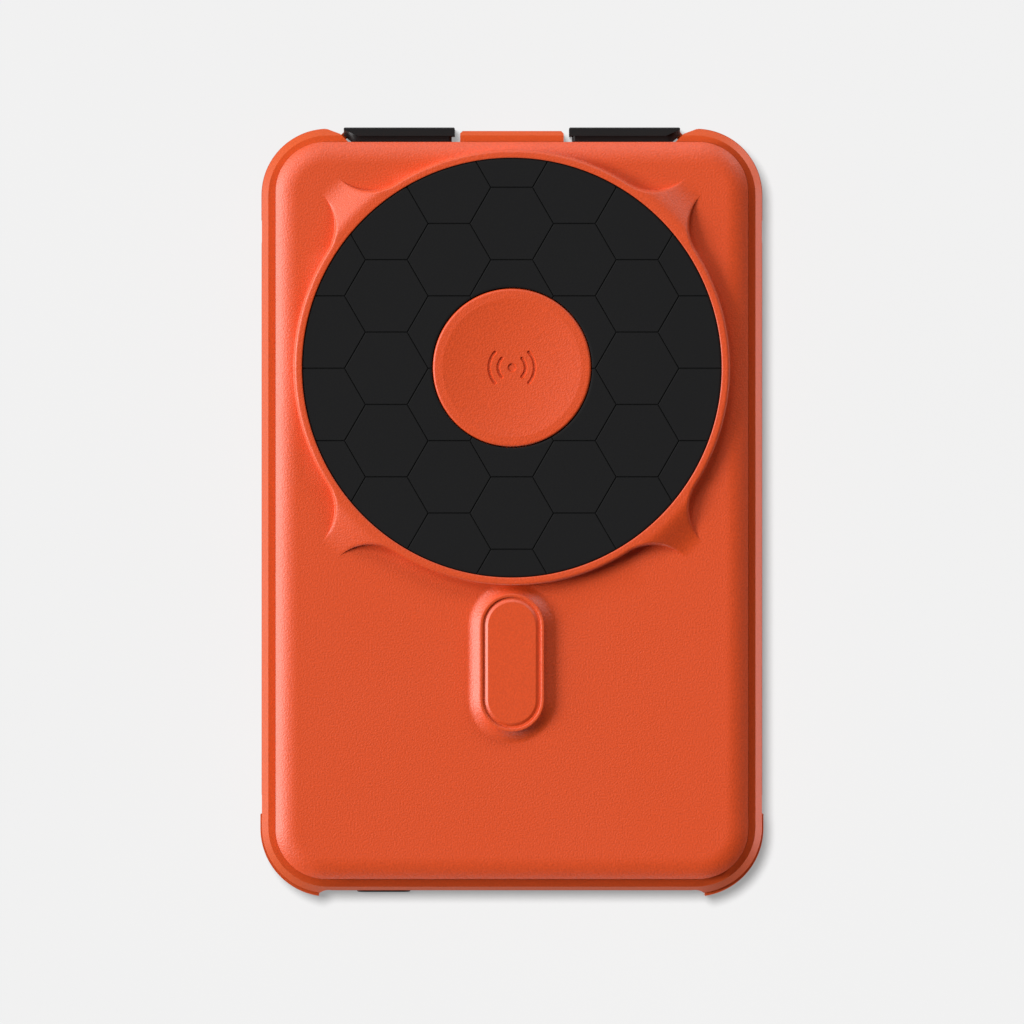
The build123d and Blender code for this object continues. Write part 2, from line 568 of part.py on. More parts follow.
pieces["shield_plate"] = shield_plate

# ---- Main board with its sockets and components ----
with BuildPart() as main_board:
    with BuildSketch(Plane.XY.offset(BOARD_Z)):
        plan(24.8, 34.3, 50.7, 1.0)
        with Locations(*BOARD_SCREWS):
            Circle(1.1, mode=Mode.SUBTRACT)
    extrude(amount=BOARD_T)
pieces["main_board"] = main_board


def socket(x, z, size, corner, depth, wall, tongue_size, tongue_depth):
    """Sheet-metal receptacle opening towards +Y, and the plastic tongue inside it."""
    mouth = Plane((x, PORT_MOUTH_Y, z), x_dir=(1, 0, 0), z_dir=(0, 1, 0))
    with BuildPart() as can:
        with BuildSketch(mouth):
            RectangleRounded(*size, corner)
        extrude(amount=-depth)
        with BuildSketch(mouth):
            RectangleRounded(size[0] - 2 * wall, size[1] - 2 * wall, corner - wall)
        extrude(amount=-depth + 0.8, mode=Mode.SUBTRACT)
    with BuildPart() as tongue:
        with BuildSketch(mouth.offset(-depth + 0.8)):
            with Locations((0, tongue_size[2])):
                Rectangle(tongue_size[0], tongue_size[1])
        extrude(amount=tongue_depth)
        chamfer(tongue.edges().group_by(Axis.Y)[-1], 0.2)
    return can, tongue


pieces["usb_c_shell"], pieces["usb_c_tongue"] = socket(
    -PORT_X, PORT_Z["usb_c"], USB_C_SIZE, 1.5, USB_C_DEPTH, 0.35, (6.2, 0.7, 0.0), 5.6)
pieces["usb_a_shell"], pieces["usb_a_tongue"] = socket(
    PORT_X, PORT_Z["usb_a"], USB_A_SIZE, 0.5, USB_A_DEPTH, 0.4, (10.8, 1.9, 1.0), 9.4)

with BuildPart() as power_inductors:
    with Locations((-6.4, 42.0, BOARD_TOP_Z), (1.2, 42.0, BOARD_TOP_Z)):
        Box(6.6, 6.6, 3.0, align=(Align.CENTER, Align.CENTER, Align.MIN))
    fillet(power_inductors.edges().filter_by(Axis.Z), 1.0)
pieces["power_inductors"] = power_inductors
with BuildPart() as control_chips:
    with Locations((-17.3, 40.2, BOARD_TOP_Z), (-12.2, 37.6, BOARD_TOP_Z)):
        Box(4.4, 4.4, 0.8, align=(Align.CENTER, Align.CENTER, Align.MIN))
pieces["control_chips"] = control_chips
with BuildPart() as board_capacitors:
    with Locations((-6, 47.6, BOARD_TOP_Z), (12.5, 36.6, BOARD_TOP_Z)):
        with GridLocations(2.4, 2.0, 3, 2):
            Box(1.6, 0.9, 0.8, align=(Align.CENTER, Align.CENTER, Align.MIN))
pieces["board_capacitors"] = board_capacitors
with BuildPart() as board_screws:
    with BuildSketch(Plane.XY.offset(BOARD_TOP_Z)):
        with Locations(*BOARD_SCREWS):
            Circle(1.6)
    extrude(amount=0.9)
    with BuildSketch(Plane.XY.offset(BOARD_TOP_Z)):
        with Locations(*BOARD_SCREWS):
            Circle(0.75)
    extrude(amount=-3.8)
    with BuildSketch(Plane.XY.offset(BOARD_TOP_Z + 0.9)):
        with Locations(*BOARD_SCREWS):
            Rectangle(1.8, 0.35)
            Rectangle(0.35, 1.8)
    extrude(amount=-0.5, mode=Mode.SUBTRACT)
pieces["board_screws"] = board_screws

# ---- Power button, its switch and the charge lights on a small upright board ----
BUTTON_BOARD_Y = -47.6
SWITCH_FRONT_Y = -49.5
FLANGE_Y = CAVITY_BOTTOM_Y + FIT_GAP
FLANGE_T = 0.7
PLUNGER_BACK_Y = -48.6
into_case = Plane((0, 0, 0), x_dir=(1, 0, 0), z_dir=(0, -1, 0))
with BuildPart() as button_board:
    with Locations((-10.4, BUTTON_BOARD_Y + 0.5, 3.0)):
        Box(27.6, 1.0, 8.6, align=(Align.CENTER, Align.CENTER, Align.MIN))
pieces["button_board"] = button_board
with BuildPart() as tact_switch:
    with BuildSketch(into_case.offset(-BUTTON_BOARD_Y)):
        with Locations((BUTTON_X, BUTTON_Z)):
            RectangleRounded(4.6, 4.6, 0.6)
    extrude(amount=BUTTON_BOARD_Y - SWITCH_FRONT_Y)
    with BuildSketch(into_case.offset(-SWITCH_FRONT_Y)):
        with Locations((BUTTON_X, BUTTON_Z)):
            Circle(1.05)
    extrude(amount=-1.45, mode=Mode.SUBTRACT)
pieces["tact_switch"] = tact_switch
with BuildPart() as switch_plunger:
    with BuildSketch(into_case.offset(-PLUNGER_BACK_Y)):
        with Locations((BUTTON_X, BUTTON_Z)):
            Circle(0.9)
    extrude(amount=PLUNGER_BACK_Y - FLANGE_Y - FLANGE_T)
pieces["switch_plunger"] = switch_plunger
with BuildPart() as power_button:
    with BuildSketch(into_case.offset(-FLANGE_Y)):
        with Locations((BUTTON_X, BUTTON_Z)):
            SlotOverall(*BUTTON_SIZE)
    extrude(amount=FLANGE_Y - EDGE_BOTTOM_Y + BUTTON_PROUD)
    fillet(power_button.edges().group_by(Axis.Y)[0], 0.3)
    with BuildSketch(into_case.offset(-FLANGE_Y)):
        with Locations((BUTTON_X, BUTTON_Z)):
            SlotOverall(BUTTON_SIZE[0] + 1.6, BUTTON_SIZE[1] + 1.6)
    extrude(amount=-FLANGE_T)
pieces["power_button"] = power_button
with BuildPart() as charge_leds:
    with BuildSketch(into_case.offset(-BUTTON_BOARD_Y)):
        with Locations(*[(x, BUTTON_Z) for x in LIGHT_XS]):
            Rectangle(1.6, 0.9)
    extrude(amount=0.7)
pieces["charge_leds"] = charge_leds
with BuildPart() as light_pipe:
    with BuildSketch(into_case.offset(-CAVITY_BOTTOM_Y)):
        with Locations(((LIGHT_XS[0] + LIGHT_XS[-1]) / 2, BUTTON_Z)):
            RectangleRounded(11.6, 2.6, 0.6)
    extrude(amount=-1.6)
    with BuildSketch(into_case.offset(-CAVITY_BOTTOM_Y)):
        with Locations(*[(x, BUTTON_Z) for x in LIGHT_XS]):
            Circle(LIGHT_R)
    extrude(amount=CAVITY_BOTTOM_Y - EDGE_BOTTOM_Y - 0.02)
pieces["light_pipe"] = light_pipe
with BuildPart() as flex_ribbon:
    with BuildSketch(Plane.XY.offset(4.2)):
        with BuildLine() as ribbon_route:
            FilletPolyline((-24.0, -46.5), (-24.0, -43.6), (-31.99, -43.6), (-31.99, 35.2), (-24.9, 35.2),
                           radius=0.25)
        trace(ribbon_route.edges(), line_width=0.12)
    extrude(amount=5)
pieces["flex_ribbon"] = flex_ribbon

# ---- Case screws from the back, and the brass inserts they pull on ----
with BuildPart() as case_screws:
    with BuildSketch(Plane.XY.offset(0.7)):
        with Locations(*POSTS):
            Circle(SCREW_HEAD_R)
    extrude(amount=1.5)
    fillet(case_screws.edges().group_by(Axis.Z)[0], 0.35)
    with BuildSketch(Plane.XY.offset(2.2)):
        with Locations(*POSTS):
            Circle(SCREW_R)
    extrude(amount=10.2)
    with BuildSketch(Plane.XY.offset(0.7)):
        with Locations(*POSTS):
            RegularPolygon(1.15, 6)
    extrude(amount=0.9, mode=Mode.SUBTRACT)
pieces["case_screws"] = case_screws
with BuildPart() as threaded_inserts:
    with BuildSketch(Plane.XY.offset(POST_SPLIT_Z)):
        with Locations(*POSTS):
            Circle(INSERT_R)
            Circle(SCREW_R + 0.02, mode=Mode.SUBTRACT)
    extrude(amount=INSERT_HIGH_Z - POST_SPLIT_Z)
pieces["threaded_inserts"] = threaded_inserts


def port_cover(side, plug_size, plug_corner, plug_z):
    """Soft cover on side -1 or 1: stem with rounded ends, lip, notch for the knuckle, and plug."""
    def across(x, y):
        return (side * x, y)

    stem_inner_x = COVER_INNER_X + STEM_INSET
    stem_high_z = COVER_HIGH_Z - COVER_STEM_DROP
    with BuildPart() as cover:
        # stem, rounded at the top of its hinge end and of its inner end
        with BuildSketch(Plane((0, COVER_TOP_Y, 0), x_dir=(1, 0, 0), z_dir=(0, -1, 0))) as stem:
            with Locations((side * (stem_inner_x + COVER_OUTER_X) / 2, (COVER_LOW_Z + stem_high_z) / 2)):
                Rectangle(COVER_OUTER_X - stem_inner_x, stem_high_z - COVER_LOW_Z)
            for end_x, end_r in ((COVER_OUTER_X, STEM_HINGE_END_R), (stem_inner_x, STEM_INNER_END_R)):
                corners = stem.vertices().sort_by_distance((side * end_x, stem_high_z, 0))
                fillet(corners[0], end_r)
        extrude(amount=COVER_TOP_Y - COVER_BACK_Y)
        # slanted corner that clears the shoulder slope
        with BuildSketch(Plane.XY):
            with BuildLine():
                Polyline(
                    across(COVER_OUTER_X, 53.82), across(22.85, COVER_BACK_Y), across(22.85, 52.0),
                    across(25.0, 52.0), across(25.0, 53.82), across(COVER_OUTER_X, 53.82),
                )
            make_face()
        extrude(amount=COVER_HIGH_Z, mode=Mode.SUBTRACT)
        # lip, cut slantwise at its hinge end
        with BuildSketch(Plane.XY.offset(COVER_LOW_Z)):
            with BuildLine():
                Polyline(
                    across(COVER_INNER_X, COVER_TOP_Y), across(COVER_OUTER_X, COVER_TOP_Y),
                    across(COVER_OUTER_X, LIP_END_Y), across(LIP_END_X, COVER_LIP_Y),
                    across(COVER_INNER_X, COVER_LIP_Y), across(COVER_INNER_X, COVER_TOP_Y),
                )
            make_face()
        extrude(amount=COVER_HIGH_Z - COVER_LOW_Z)
        fillet(cover.faces().sort_by(Axis.Y)[-1].edges(), 0.2)
        # plug that fills the port pocket behind the cover
        with BuildSketch(Plane((0, COVER_BACK_Y, 0), x_dir=(1, 0, 0), z_dir=(0, -1, 0))):
            with Locations((side * PORT_X, plug_z)):
                RectangleRounded(*plug_size, plug_corner)
        extrude(amount=COVER_BACK_Y - PORT_MOUTH_Y - 0.05)
        # notch round the housing knuckle, and the running bore for the pin
        with Locations((side * (HINGE_X + 0.6), HINGE_Y, (KNUCKLE_LOW_Z + KNUCKLE_HIGH_Z) / 2)):
            Box(2 * 1.35, 4, KNUCKLE_HIGH_Z - KNUCKLE_LOW_Z + 0.3, mode=Mode.SUBTRACT)
        with Locations((side * HINGE_X, HINGE_Y, COVER_LOW_Z)):
            Cylinder(PIN_R + 0.05, COVER_BORE_HIGH_Z - COVER_LOW_Z,
                     align=(Align.CENTER, Align.CENTER, Align.MIN), mode=Mode.SUBTRACT)
    return cover


# ---- Port covers and their hinge pins ----
pieces["port_cover_left"] = port_cover(
    -1, (USB_C_SIZE[0] + 1.6 - 2 * PLUG_GAP, USB_C_SIZE[1] + 1.6 - 0.3), 2.0, PORT_Z["usb_c"])
pieces["port_cover_right"] = port_cover(
    1, (USB_A_SIZE[0] + 1.4 - 2 * PLUG_GAP, USB_A_SIZE[1] + 1.4 - 0.3), 1.0, PORT_Z["usb_a"])
for pin_name, pin_side in (("hinge_pin_left", -1), ("hinge_pin_right", 1)):
    with BuildPart() as hinge_pin:
        with Locations((pin_side * HINGE_X, HINGE_Y, COVER_LOW_Z + 0.2)):
            Cylinder(PIN_R, COVER_BORE_HIGH_Z - COVER_LOW_Z - 0.4,
                     align=(Align.CENTER, Align.CENTER, Align.MIN))
    pieces[pin_name] = hinge_pin

# ---- Write every piece ----
os.makedirs("parts", exist_ok=True)
for label, piece in pieces.items():
    piece.part.label = label
    export_step(piece.part, f"parts/{label}.step")
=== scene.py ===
import bmesh
import bpy
import math
import numpy as np
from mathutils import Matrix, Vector
from mathutils.geometry import delaunay_2d_cdt


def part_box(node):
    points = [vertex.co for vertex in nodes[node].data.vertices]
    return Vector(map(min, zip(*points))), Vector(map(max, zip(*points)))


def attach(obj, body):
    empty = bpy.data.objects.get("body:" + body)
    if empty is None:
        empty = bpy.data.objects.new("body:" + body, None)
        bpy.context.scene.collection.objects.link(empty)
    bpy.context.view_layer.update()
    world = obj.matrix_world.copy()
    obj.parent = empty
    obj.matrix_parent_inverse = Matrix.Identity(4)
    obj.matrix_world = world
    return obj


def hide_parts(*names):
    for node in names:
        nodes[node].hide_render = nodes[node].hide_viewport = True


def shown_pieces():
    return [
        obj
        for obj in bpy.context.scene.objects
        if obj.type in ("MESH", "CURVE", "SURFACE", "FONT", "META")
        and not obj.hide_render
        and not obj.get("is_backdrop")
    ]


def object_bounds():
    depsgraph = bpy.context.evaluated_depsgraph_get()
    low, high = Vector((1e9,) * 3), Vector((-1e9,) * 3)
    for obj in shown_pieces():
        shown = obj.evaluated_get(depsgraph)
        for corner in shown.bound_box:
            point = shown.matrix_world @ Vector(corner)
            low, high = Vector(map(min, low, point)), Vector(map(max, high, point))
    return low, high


# Looks of a rugged magnetic wireless power bank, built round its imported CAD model.
# Shapes are worked out in millimetres from the CAD nodes' boxes, then written in metres.

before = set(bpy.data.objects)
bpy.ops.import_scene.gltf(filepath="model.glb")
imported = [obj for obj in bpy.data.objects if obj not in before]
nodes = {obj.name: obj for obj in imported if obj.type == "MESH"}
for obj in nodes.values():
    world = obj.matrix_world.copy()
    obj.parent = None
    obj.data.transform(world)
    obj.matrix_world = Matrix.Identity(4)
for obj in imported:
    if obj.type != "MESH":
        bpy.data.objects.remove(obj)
cad_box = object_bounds()
MM = 0.001


def node_box(name):
    """Lowest and highest corner of a CAD node, in millimetres."""
    low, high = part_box(name)
    return np.array(low) / MM, np.array(high) / MM


# ---------------------------------------------------------------- sizes from the frame
face_low, face_high = node_box("front_shell")
pad_low, pad_high = node_box("hex_pad")
disc_low, disc_high = node_box("centre_disc")
cap_low, cap_high = node_box("alignment_cap")
shell_top = node_box("back_shell")[1][2]

RING = (pad_low[:2] + pad_high[:2]) / 2
PAD_R = (pad_high[0] - pad_low[0]) / 2
PAD_Z = pad_high[2]
RING_R = PAD_R + 1.18
RING_Z = face_high[2]
FACE_Z = pad_low[2]
DISC_R = (disc_high[0] - disc_low[0]) / 2
DISC_Z = disc_high[2]
PILL = (cap_low[:2] + cap_high[:2]) / 2
PILL_CAP_HALF = (cap_high[0] - cap_low[0]) / 2
PILL_STRAIGHT = (cap_high[1] - cap_low[1]) - 2 * PILL_CAP_HALF
PILL_TOP = cap_high[2]

# pillow-shaped face: corner radius, width of its bent edge and radius of the bend
PILLOW_R = 7.1
PILLOW_EDGE = 3.1
PILLOW_BEND = 5.2

# ring and pad seat: rounded edges, hollow foot, gap beside the pad and how far the seat sinks
RING_EDGE = 0.42
RING_FOOT = 0.12
SEAT_EDGE = 0.12
SEAT_GAP = 0.03
SEAT_SINK = 0.02

# wings: where their slope starts and ends, its skew, and the scallops that cut their sides
WING_START = 31.2
WING_TIP = 36.9
WING_SKEW = 0.8
SCALLOP_R = 6.6
SCALLOP_LEAN = math.radians(12.6)

# boss round the alignment pill: half widths, ramp outside the rim, rounded edges, pocket
PILL_RIM = 4.64
PILL_POCKET = 4.12
PILL_FOOT = 1.6
PILL_RAMP = 0.8
PILL_RAMP_CURVE = 1.45
PILL_EDGE = 0.14
POCKET_EDGE = 0.1
PILL_POCKET_DEPTH = 0.24

# half the width of the net's steps at upright walls, and a distance past any shape
WALL_STEP = 0.012
FAR = 1e9


# ---------------------------------------------------------------- mesh helpers
def circle_loop(centre, radius, count):
    """Points round a circle."""
    turn = np.arange(count) * 2 * math.pi / count
    return np.column_stack((centre[0] + radius * np.cos(turn), centre[1] + radius * np.sin(turn)))


def arc_line(centre, radius, start, stop, count):
    """Points along an arc, both ends included."""
    turn = np.linspace(start, stop, count)
    return np.column_stack((centre[0] + radius * np.cos(turn), centre[1] + radius * np.sin(turn)))


def straight(a, b, step):
    """Points from a towards b, without b."""
    a, b = np.array(a, float), np.array(b, float)
    count = max(1, int(round(np.linalg.norm(b - a) / step)))
    return a + (b - a) * (np.arange(count) / count)[:, None]


def rounded_loop(low, high, radius, turns, across, along):
    """Points round a rounded rectangle, so many to a corner, to a short side and to a long side."""
    corners = (
        ((high[0] - radius, low[1] + radius), -0.5),
        ((high[0] - radius, high[1] - radius), 0.0),
        ((low[0] + radius, high[1] - radius), 0.5),
        ((low[0] + radius, low[1] + radius), 1.0),
    )
    arcs = [arc_line(c, radius, a * math.pi, (a + 0.5) * math.pi, turns + 1) for c, a in corners]
    loop = []
    for arc, following, count in zip(arcs, arcs[1:] + arcs[:1], (along, across, along, across)):
        loop.append(arc[:-1])
        loop.append(arc[-1] + (following[0] - arc[-1]) * (np.arange(count) / count)[:, None])
    return np.vstack(loop)


def stadium_loop(centre, half, length, turns=14, along=16):
    """Points round a stadium that stands along Y."""
    top = arc_line((centre[0], centre[1] + length / 2), half, 0, math.pi, 2 * turns + 1)
    down = top[-1] + np.column_stack((np.zeros(along), -length * np.arange(along) / along))[1:]
    bottom = arc_line((centre[0], centre[1] - length / 2), half, math.pi, 2 * math.pi, 2 * turns + 1)
    up = bottom[-1] + np.column_stack((np.zeros(along), length * np.arange(along) / along))[1:]
    return np.vstack((top, down, bottom, up))


def new_object(name, verts, faces, material, smooth_angle=40):
    """Mesh object from points in millimetres, smooth up to an angle, sharp past it."""
    mesh = bpy.data.meshes.new(name)
    mesh.from_pydata([tuple(v) for v in np.asarray(verts) * MM], [], [tuple(f) for f in faces])
    mesh.validate()
    piece = bpy.data.objects.new(name, mesh)
    bpy.context.scene.collection.objects.link(piece)
    mesh.polygons.foreach_set("use_smooth", [True] * len(mesh.polygons))
    mesh.set_sharp_from_angle(angle=math.radians(smooth_angle))
    mesh.materials.append(material)
    return piece


def triangulate(lines):
    """Flat triangle net that keeps every line: [(points, closed), ...]."""
    points, edges = [], []
    for line, closed in lines:
        first = len(points)
        points.extend(Vector(p) for p in line)
        edges.extend((first + i, first + i + 1) for i in range(len(line) - 1))
        if closed:
            edges.append((first + len(line) - 1, first))
    flat, _, faces, _, _, _ = delaunay_2d_cdt(points, edges, [], 0, 1e-6)
    return np.array([(p.x, p.y) for p in flat]), faces


def relief(name, lines, height, base_z, material, keep=None, smooth_angle=40):
    """Closed solid: a net of triangles lifted to height(x, y), walls, and a flat base."""
    flat, faces = triangulate(lines)
    if keep is not None:
        middles = np.array([flat[list(f)].mean(0) for f in faces])
        faces = [f for f, kept in zip(faces, keep(middles[:, 0], middles[:, 1])) if kept]
    top = np.column_stack((flat, height(flat[:, 0], flat[:, 1])))
    net = bmesh.new()
    verts = [net.verts.new(p) for p in top]
    for face in faces:
        net.faces.new([verts[i] for i in face])
    bmesh.ops.delete(net, geom=[v for v in net.verts if not v.link_faces], context="VERTS")
    rim = [e for e in net.edges if len(e.link_faces) == 1]
    skirt = bmesh.ops.extrude_edge_only(net, edges=rim)["geom"]
    for low_vert in (g for g in skirt if isinstance(g, bmesh.types.BMVert)):
        low_vert.co.z = base_z
    closing = [g for g in skirt if isinstance(g, bmesh.types.BMEdge) and len(g.link_faces) == 1]
    bmesh.ops.triangle_fill(net, edges=closing, use_beauty=True)
    bmesh.ops.recalc_face_normals(net, faces=net.faces)
    net.verts.index_update()
    made = [v.co[:] for v in net.verts]
    made_faces = [[v.index for v in f.verts] for f in net.faces]
    net.free()
    return new_object(name, made, made_faces, material, smooth_angle)


# ---------------------------------------------------------------- profiles
def rounding(depth, radius):
    """How far a rounded edge lies below its top, at a depth inside the outline."""
    depth = np.clip(depth, 0, radius)
    return radius - np.sqrt(np.maximum(radius ** 2 - (radius - depth) ** 2, 0))


def rounded_rect_depth(x, y, low, high, radius):
    """Distance inside a rounded rectangle, negative outside."""
    middle = ((low[0] + high[0]) / 2, (low[1] + high[1]) / 2)
    qx = np.abs(x - middle[0]) - ((high[0] - low[0]) / 2 - radius)
    qy = np.abs(y - middle[1]) - ((high[1] - low[1]) / 2 - radius)
    outside = np.hypot(np.maximum(qx, 0), np.maximum(qy, 0))
    return radius - outside - np.minimum(np.maximum(qx, qy), 0)


def stadium_distance(x, y):
    """Distance from the spine of the alignment pill."""
    along = np.abs(y - PILL[1]) - PILL_STRAIGHT / 2
    return np.hypot(x - PILL[0], np.maximum(along, 0))


def pillow_height(x, y):
    """Top of the face with its bent edge."""
    depth = rounded_rect_depth(x, y, face_low, face_high, PILLOW_R)
    into = np.clip(PILLOW_EDGE - depth, 0, PILLOW_EDGE)
    return FACE_Z - (PILLOW_BEND - np.sqrt(PILLOW_BEND ** 2 - into ** 2))


def wing_depth(x, y):
    """Distance inside the nearest wing's two scallops, far below zero away from the wings."""
    turn = np.arctan2(y - RING[1], x - RING[0])
    lean = np.abs((turn % (math.pi / 2)) - math.pi / 4)
    radius = np.hypot(x - RING[0], y - RING[1])
    reach = RING_R + SCALLOP_R
    near = np.sqrt(radius ** 2 + reach ** 2 - 2 * radius * reach * np.cos(SCALLOP_LEAN - lean))
    return np.where((lean <= SCALLOP_LEAN) & (radius < WING_TIP), near - SCALLOP_R, -FAR)


def raised_height(x, y):
    """Top of the ring and of the wings, which fall to the face in an S-shaped slope."""
    radius = np.hypot(x - RING[0], y - RING[1])
    t = np.clip((radius - WING_START) / (WING_TIP - WING_START), 0, 1) ** WING_SKEW
    return RING_Z - (RING_Z - FACE_Z) * t * t * (3 - 2 * t)


def hollow_foot(depth, radius):
    """How high a hollow fillet stands at a distance outside a wall, as a share of its radius."""
    swell = np.clip(1 + depth / radius, 0, 1)
    return 1 - np.sqrt(np.maximum(1 - swell ** 2, 0))


def raised_part(x, y, z):
    """Ring and wings standing on the pillow, with a rounded rim and a hollow foot."""
    radius = np.hypot(x - RING[0], y - RING[1])
    depth = np.maximum(RING_R - radius, wing_depth(x, y))
    step = np.maximum(raised_height(x, y) - z, 0)
    share = np.clip(step / (RING_Z - FACE_Z), 0, 1)
    top = z + step * (1 - rounding(depth, RING_EDGE) / (RING_Z - FACE_Z))
    foot = z + share * RING_FOOT * hollow_foot(depth, RING_FOOT)
    return np.where(depth > 0, top, foot)


def pad_seat(x, y, z):
    """Recess of the hexagon pad, with a softened lip."""
    inside = PAD_R + SEAT_GAP - np.hypot(x - RING[0], y - RING[1])
    lip = RING_Z - rounding(np.clip(-inside, 0, SEAT_EDGE), SEAT_EDGE)
    return np.where(inside > 0, FACE_Z - SEAT_SINK, np.minimum(z, lip))


def pill_boss(x, y, z):
    """Rim, pocket and ramp that frame the alignment pill."""
    spine = stadium_distance(x, y)
    t = np.clip((spine - PILL_RIM) / PILL_FOOT, 0, 1)
    ramp = FACE_Z + PILL_RAMP * (1 - t) ** PILL_RAMP_CURVE
    rim = PILL_TOP - rounding(np.clip(PILL_RIM - spine, 0, PILL_EDGE), PILL_EDGE)
    lip = PILL_TOP - rounding(np.clip(spine - PILL_POCKET, 0, POCKET_EDGE), POCKET_EDGE)
    z = np.where(spine < PILL_RIM + PILL_FOOT, np.maximum(ramp, z), z)
    z = np.where(spine < PILL_RIM, np.minimum(rim, lip), z)
    return np.where(spine < PILL_POCKET, PILL_TOP - PILL_POCKET_DEPTH, z)


def face_height(x, y):
    """Top of the front shell: pillow, ring with wings, pad seat and pill boss."""
    z = pillow_height(x, y)
    z = raised_part(x, y, z)
    z = pad_seat(x, y, z)
    return pill_boss(x, y, z)


def quarter_steps(radius, count):
    """Depths that divide a quarter-round edge evenly by angle."""
    return [radius * (1 - math.cos(i * math.pi / 2 / count)) for i in range(count + 1)]


# ---------------------------------------------------------------- materials
# part of a noise's range that a tone runs over, scale of the gloss variation, and brushed marks
NOISE_MIDDLE = (0.3, 0.7)
BROAD_SCALE = 60.0
BRUSH_SCALE = 900.0
BRUSH_STRETCH = (1.0, 1.0, 12.0)
BRUSH_TONE = 0.85
BRUSH_GLOSS = (0.8, 1.25)


def node_material(name):
    """New node material with its tree and its shader."""
    material = bpy.data.materials.new(name)
    material.use_nodes = True
    tree = material.node_tree
    return material, tree, tree.nodes["Principled BSDF"]


def add_node(tree, kind, inputs=(), **settings):
    """New node with its settings, and its input values or links by name."""
    node = tree.nodes.new(kind)
    for key, value in settings.items():
        setattr(node, key, value)
    for key, value in dict(inputs).items():
        if isinstance(value, bpy.types.NodeSocket):
            tree.links.new(value, node.inputs[key])
        else:
            node.inputs[key].default_value = value
    return node


def grain_noise(tree, scale, detail):
    """Noise over the object's own metres."""
    place = add_node(tree, "ShaderNodeTexCoord")
    return add_node(tree, "ShaderNodeTexNoise", {
        "Vector": place.outputs["Object"], "Scale": scale, "Detail": detail,
    })


def tone_ramp(tree, factor, low, high):
    """Colour that goes from low to high over the middle of a noise."""
    ramp = add_node(tree, "ShaderNodeValToRGB", {"Fac": factor})
    for stop, position, colour in zip(ramp.color_ramp.elements, NOISE_MIDDLE, (low, high)):
        stop.position = position
        stop.color = (*colour, 1)
    return ramp


def varied_gloss(tree, factor, low, high):
    """Roughness that goes from low to high over a noise."""
    return add_node(tree, "ShaderNodeMapRange", {"Value": factor, "To Min": low, "To Max": high})


def moulded(name, colour, vary, roughness, rough_vary, grain_scale, grain_depth, specular=0.5):
    """Moulded plastic or rubber: grained surface, slight colour and gloss variation."""
    material, tree, shader = node_material(name)
    colour = np.array(colour)
    broad = grain_noise(tree, BROAD_SCALE, 3.0)
    fine = grain_noise(tree, grain_scale, 1.0)
    tone = tone_ramp(tree, fine.outputs["Fac"], colour * (1 - vary), colour * (1 + vary))
    tree.links.new(tone.outputs["Color"], shader.inputs["Base Color"])
    gloss = varied_gloss(tree, broad.outputs["Fac"], roughness - rough_vary, roughness + rough_vary)
    tree.links.new(gloss.outputs["Result"], shader.inputs["Roughness"])
    shader.inputs["Specular IOR Level"].default_value = specular
    bump = add_node(tree, "ShaderNodeBump", {
        "Height": fine.outputs["Fac"], "Distance": grain_depth * MM, "Strength": 1.0,
    })
    tree.links.new(bump.outputs["Normal"], shader.inputs["Normal"])
    return material


def metal(name, colour, roughness):
    """Metal with fine drawn or brushed marks."""
    material, tree, shader = node_material(name)
    colour = np.array(colour)
    place = add_node(tree, "ShaderNodeTexCoord")
    stretched = add_node(tree, "ShaderNodeMapping", {"Vector": place.outputs["Object"]})
    stretched.inputs["Scale"].default_value = BRUSH_STRETCH
    marks = add_node(tree, "ShaderNodeTexNoise", {
        "Vector": stretched.outputs["Vector"], "Scale": BRUSH_SCALE, "Detail": 3.0,
    })
    tone = tone_ramp(tree, marks.outputs["Fac"], colour * BRUSH_TONE, colour)
    tree.links.new(tone.outputs["Color"], shader.inputs["Base Color"])
    low, high = (roughness * share for share in BRUSH_GLOSS)
    gloss = varied_gloss(tree, marks.outputs["Fac"], low, high)
    tree.links.new(gloss.outputs["Result"], shader.inputs["Roughness"])
    shader.inputs["Metallic"].default_value = 1.0
    return material


ORANGE = (0.70, 0.0680, 0.0060)
# the housing's rim, corner guards and grips use the same orange with its red darkened: painted shade for
# the ledges and chamfers round the face, not a different plastic
GUARD_ORANGE_PAINTED_SHADE = (0.54, 0.0670, 0.0068)

# colour and its variation, roughness and its variation, grain scale, grain depth in mm, specular level
orange = moulded("orange_grained", ORANGE, 0.09, 0.48, 0.03, 4000.0, 0.046, 0.72)
orange_smooth = moulded("orange_smooth", ORANGE, 0.08, 0.46, 0.03, 4000.0, 0.024, 0.72)
# painted shade: a darker copy of the orange, for the rim, corner guards and grips
guard_orange_painted_shade = moulded("guard_orange_painted_shade", GUARD_ORANGE_PAINTED_SHADE, 0.06, 0.46, 0.03, 4000.0, 0.018, 0.44)
pad_black = moulded("pad_silicone", (0.0062, 0.0062, 0.0066), 0.10, 0.62, 0.04, 5200.0, 0.006, 0.20)
cover_black = moulded("cover_rubber", (0.0085, 0.0085, 0.0088), 0.08, 0.45, 0.04, 5200.0, 0.004, 0.38)
button_black = moulded("button_plastic", (0.0050, 0.0050, 0.0053), 0.06, 0.45, 0.03, 5200.0, 0.003, 0.22)
dark_plastic = moulded("inner_plastic", (0.060, 0.060, 0.063), 0.08, 0.50, 0.05, 2500.0, 0.006)
diffuser = moulded("light_diffuser", (0.80, 0.81, 0.78), 0.02, 0.28, 0.03, 1500.0, 0.002)
steel = metal("steel", (0.60, 0.60, 0.61), 0.30)
nickel = metal("nickel", (0.66, 0.65, 0.62), 0.22)
black_screw = metal("black_oxide", (0.05, 0.05, 0.055), 0.38)
brass = metal("brass", (0.72, 0.50, 0.20), 0.30)
copper = metal("copper", (0.78, 0.36, 0.20), 0.32)
aluminium = metal("aluminium", (0.78, 0.78, 0.79), 0.35)
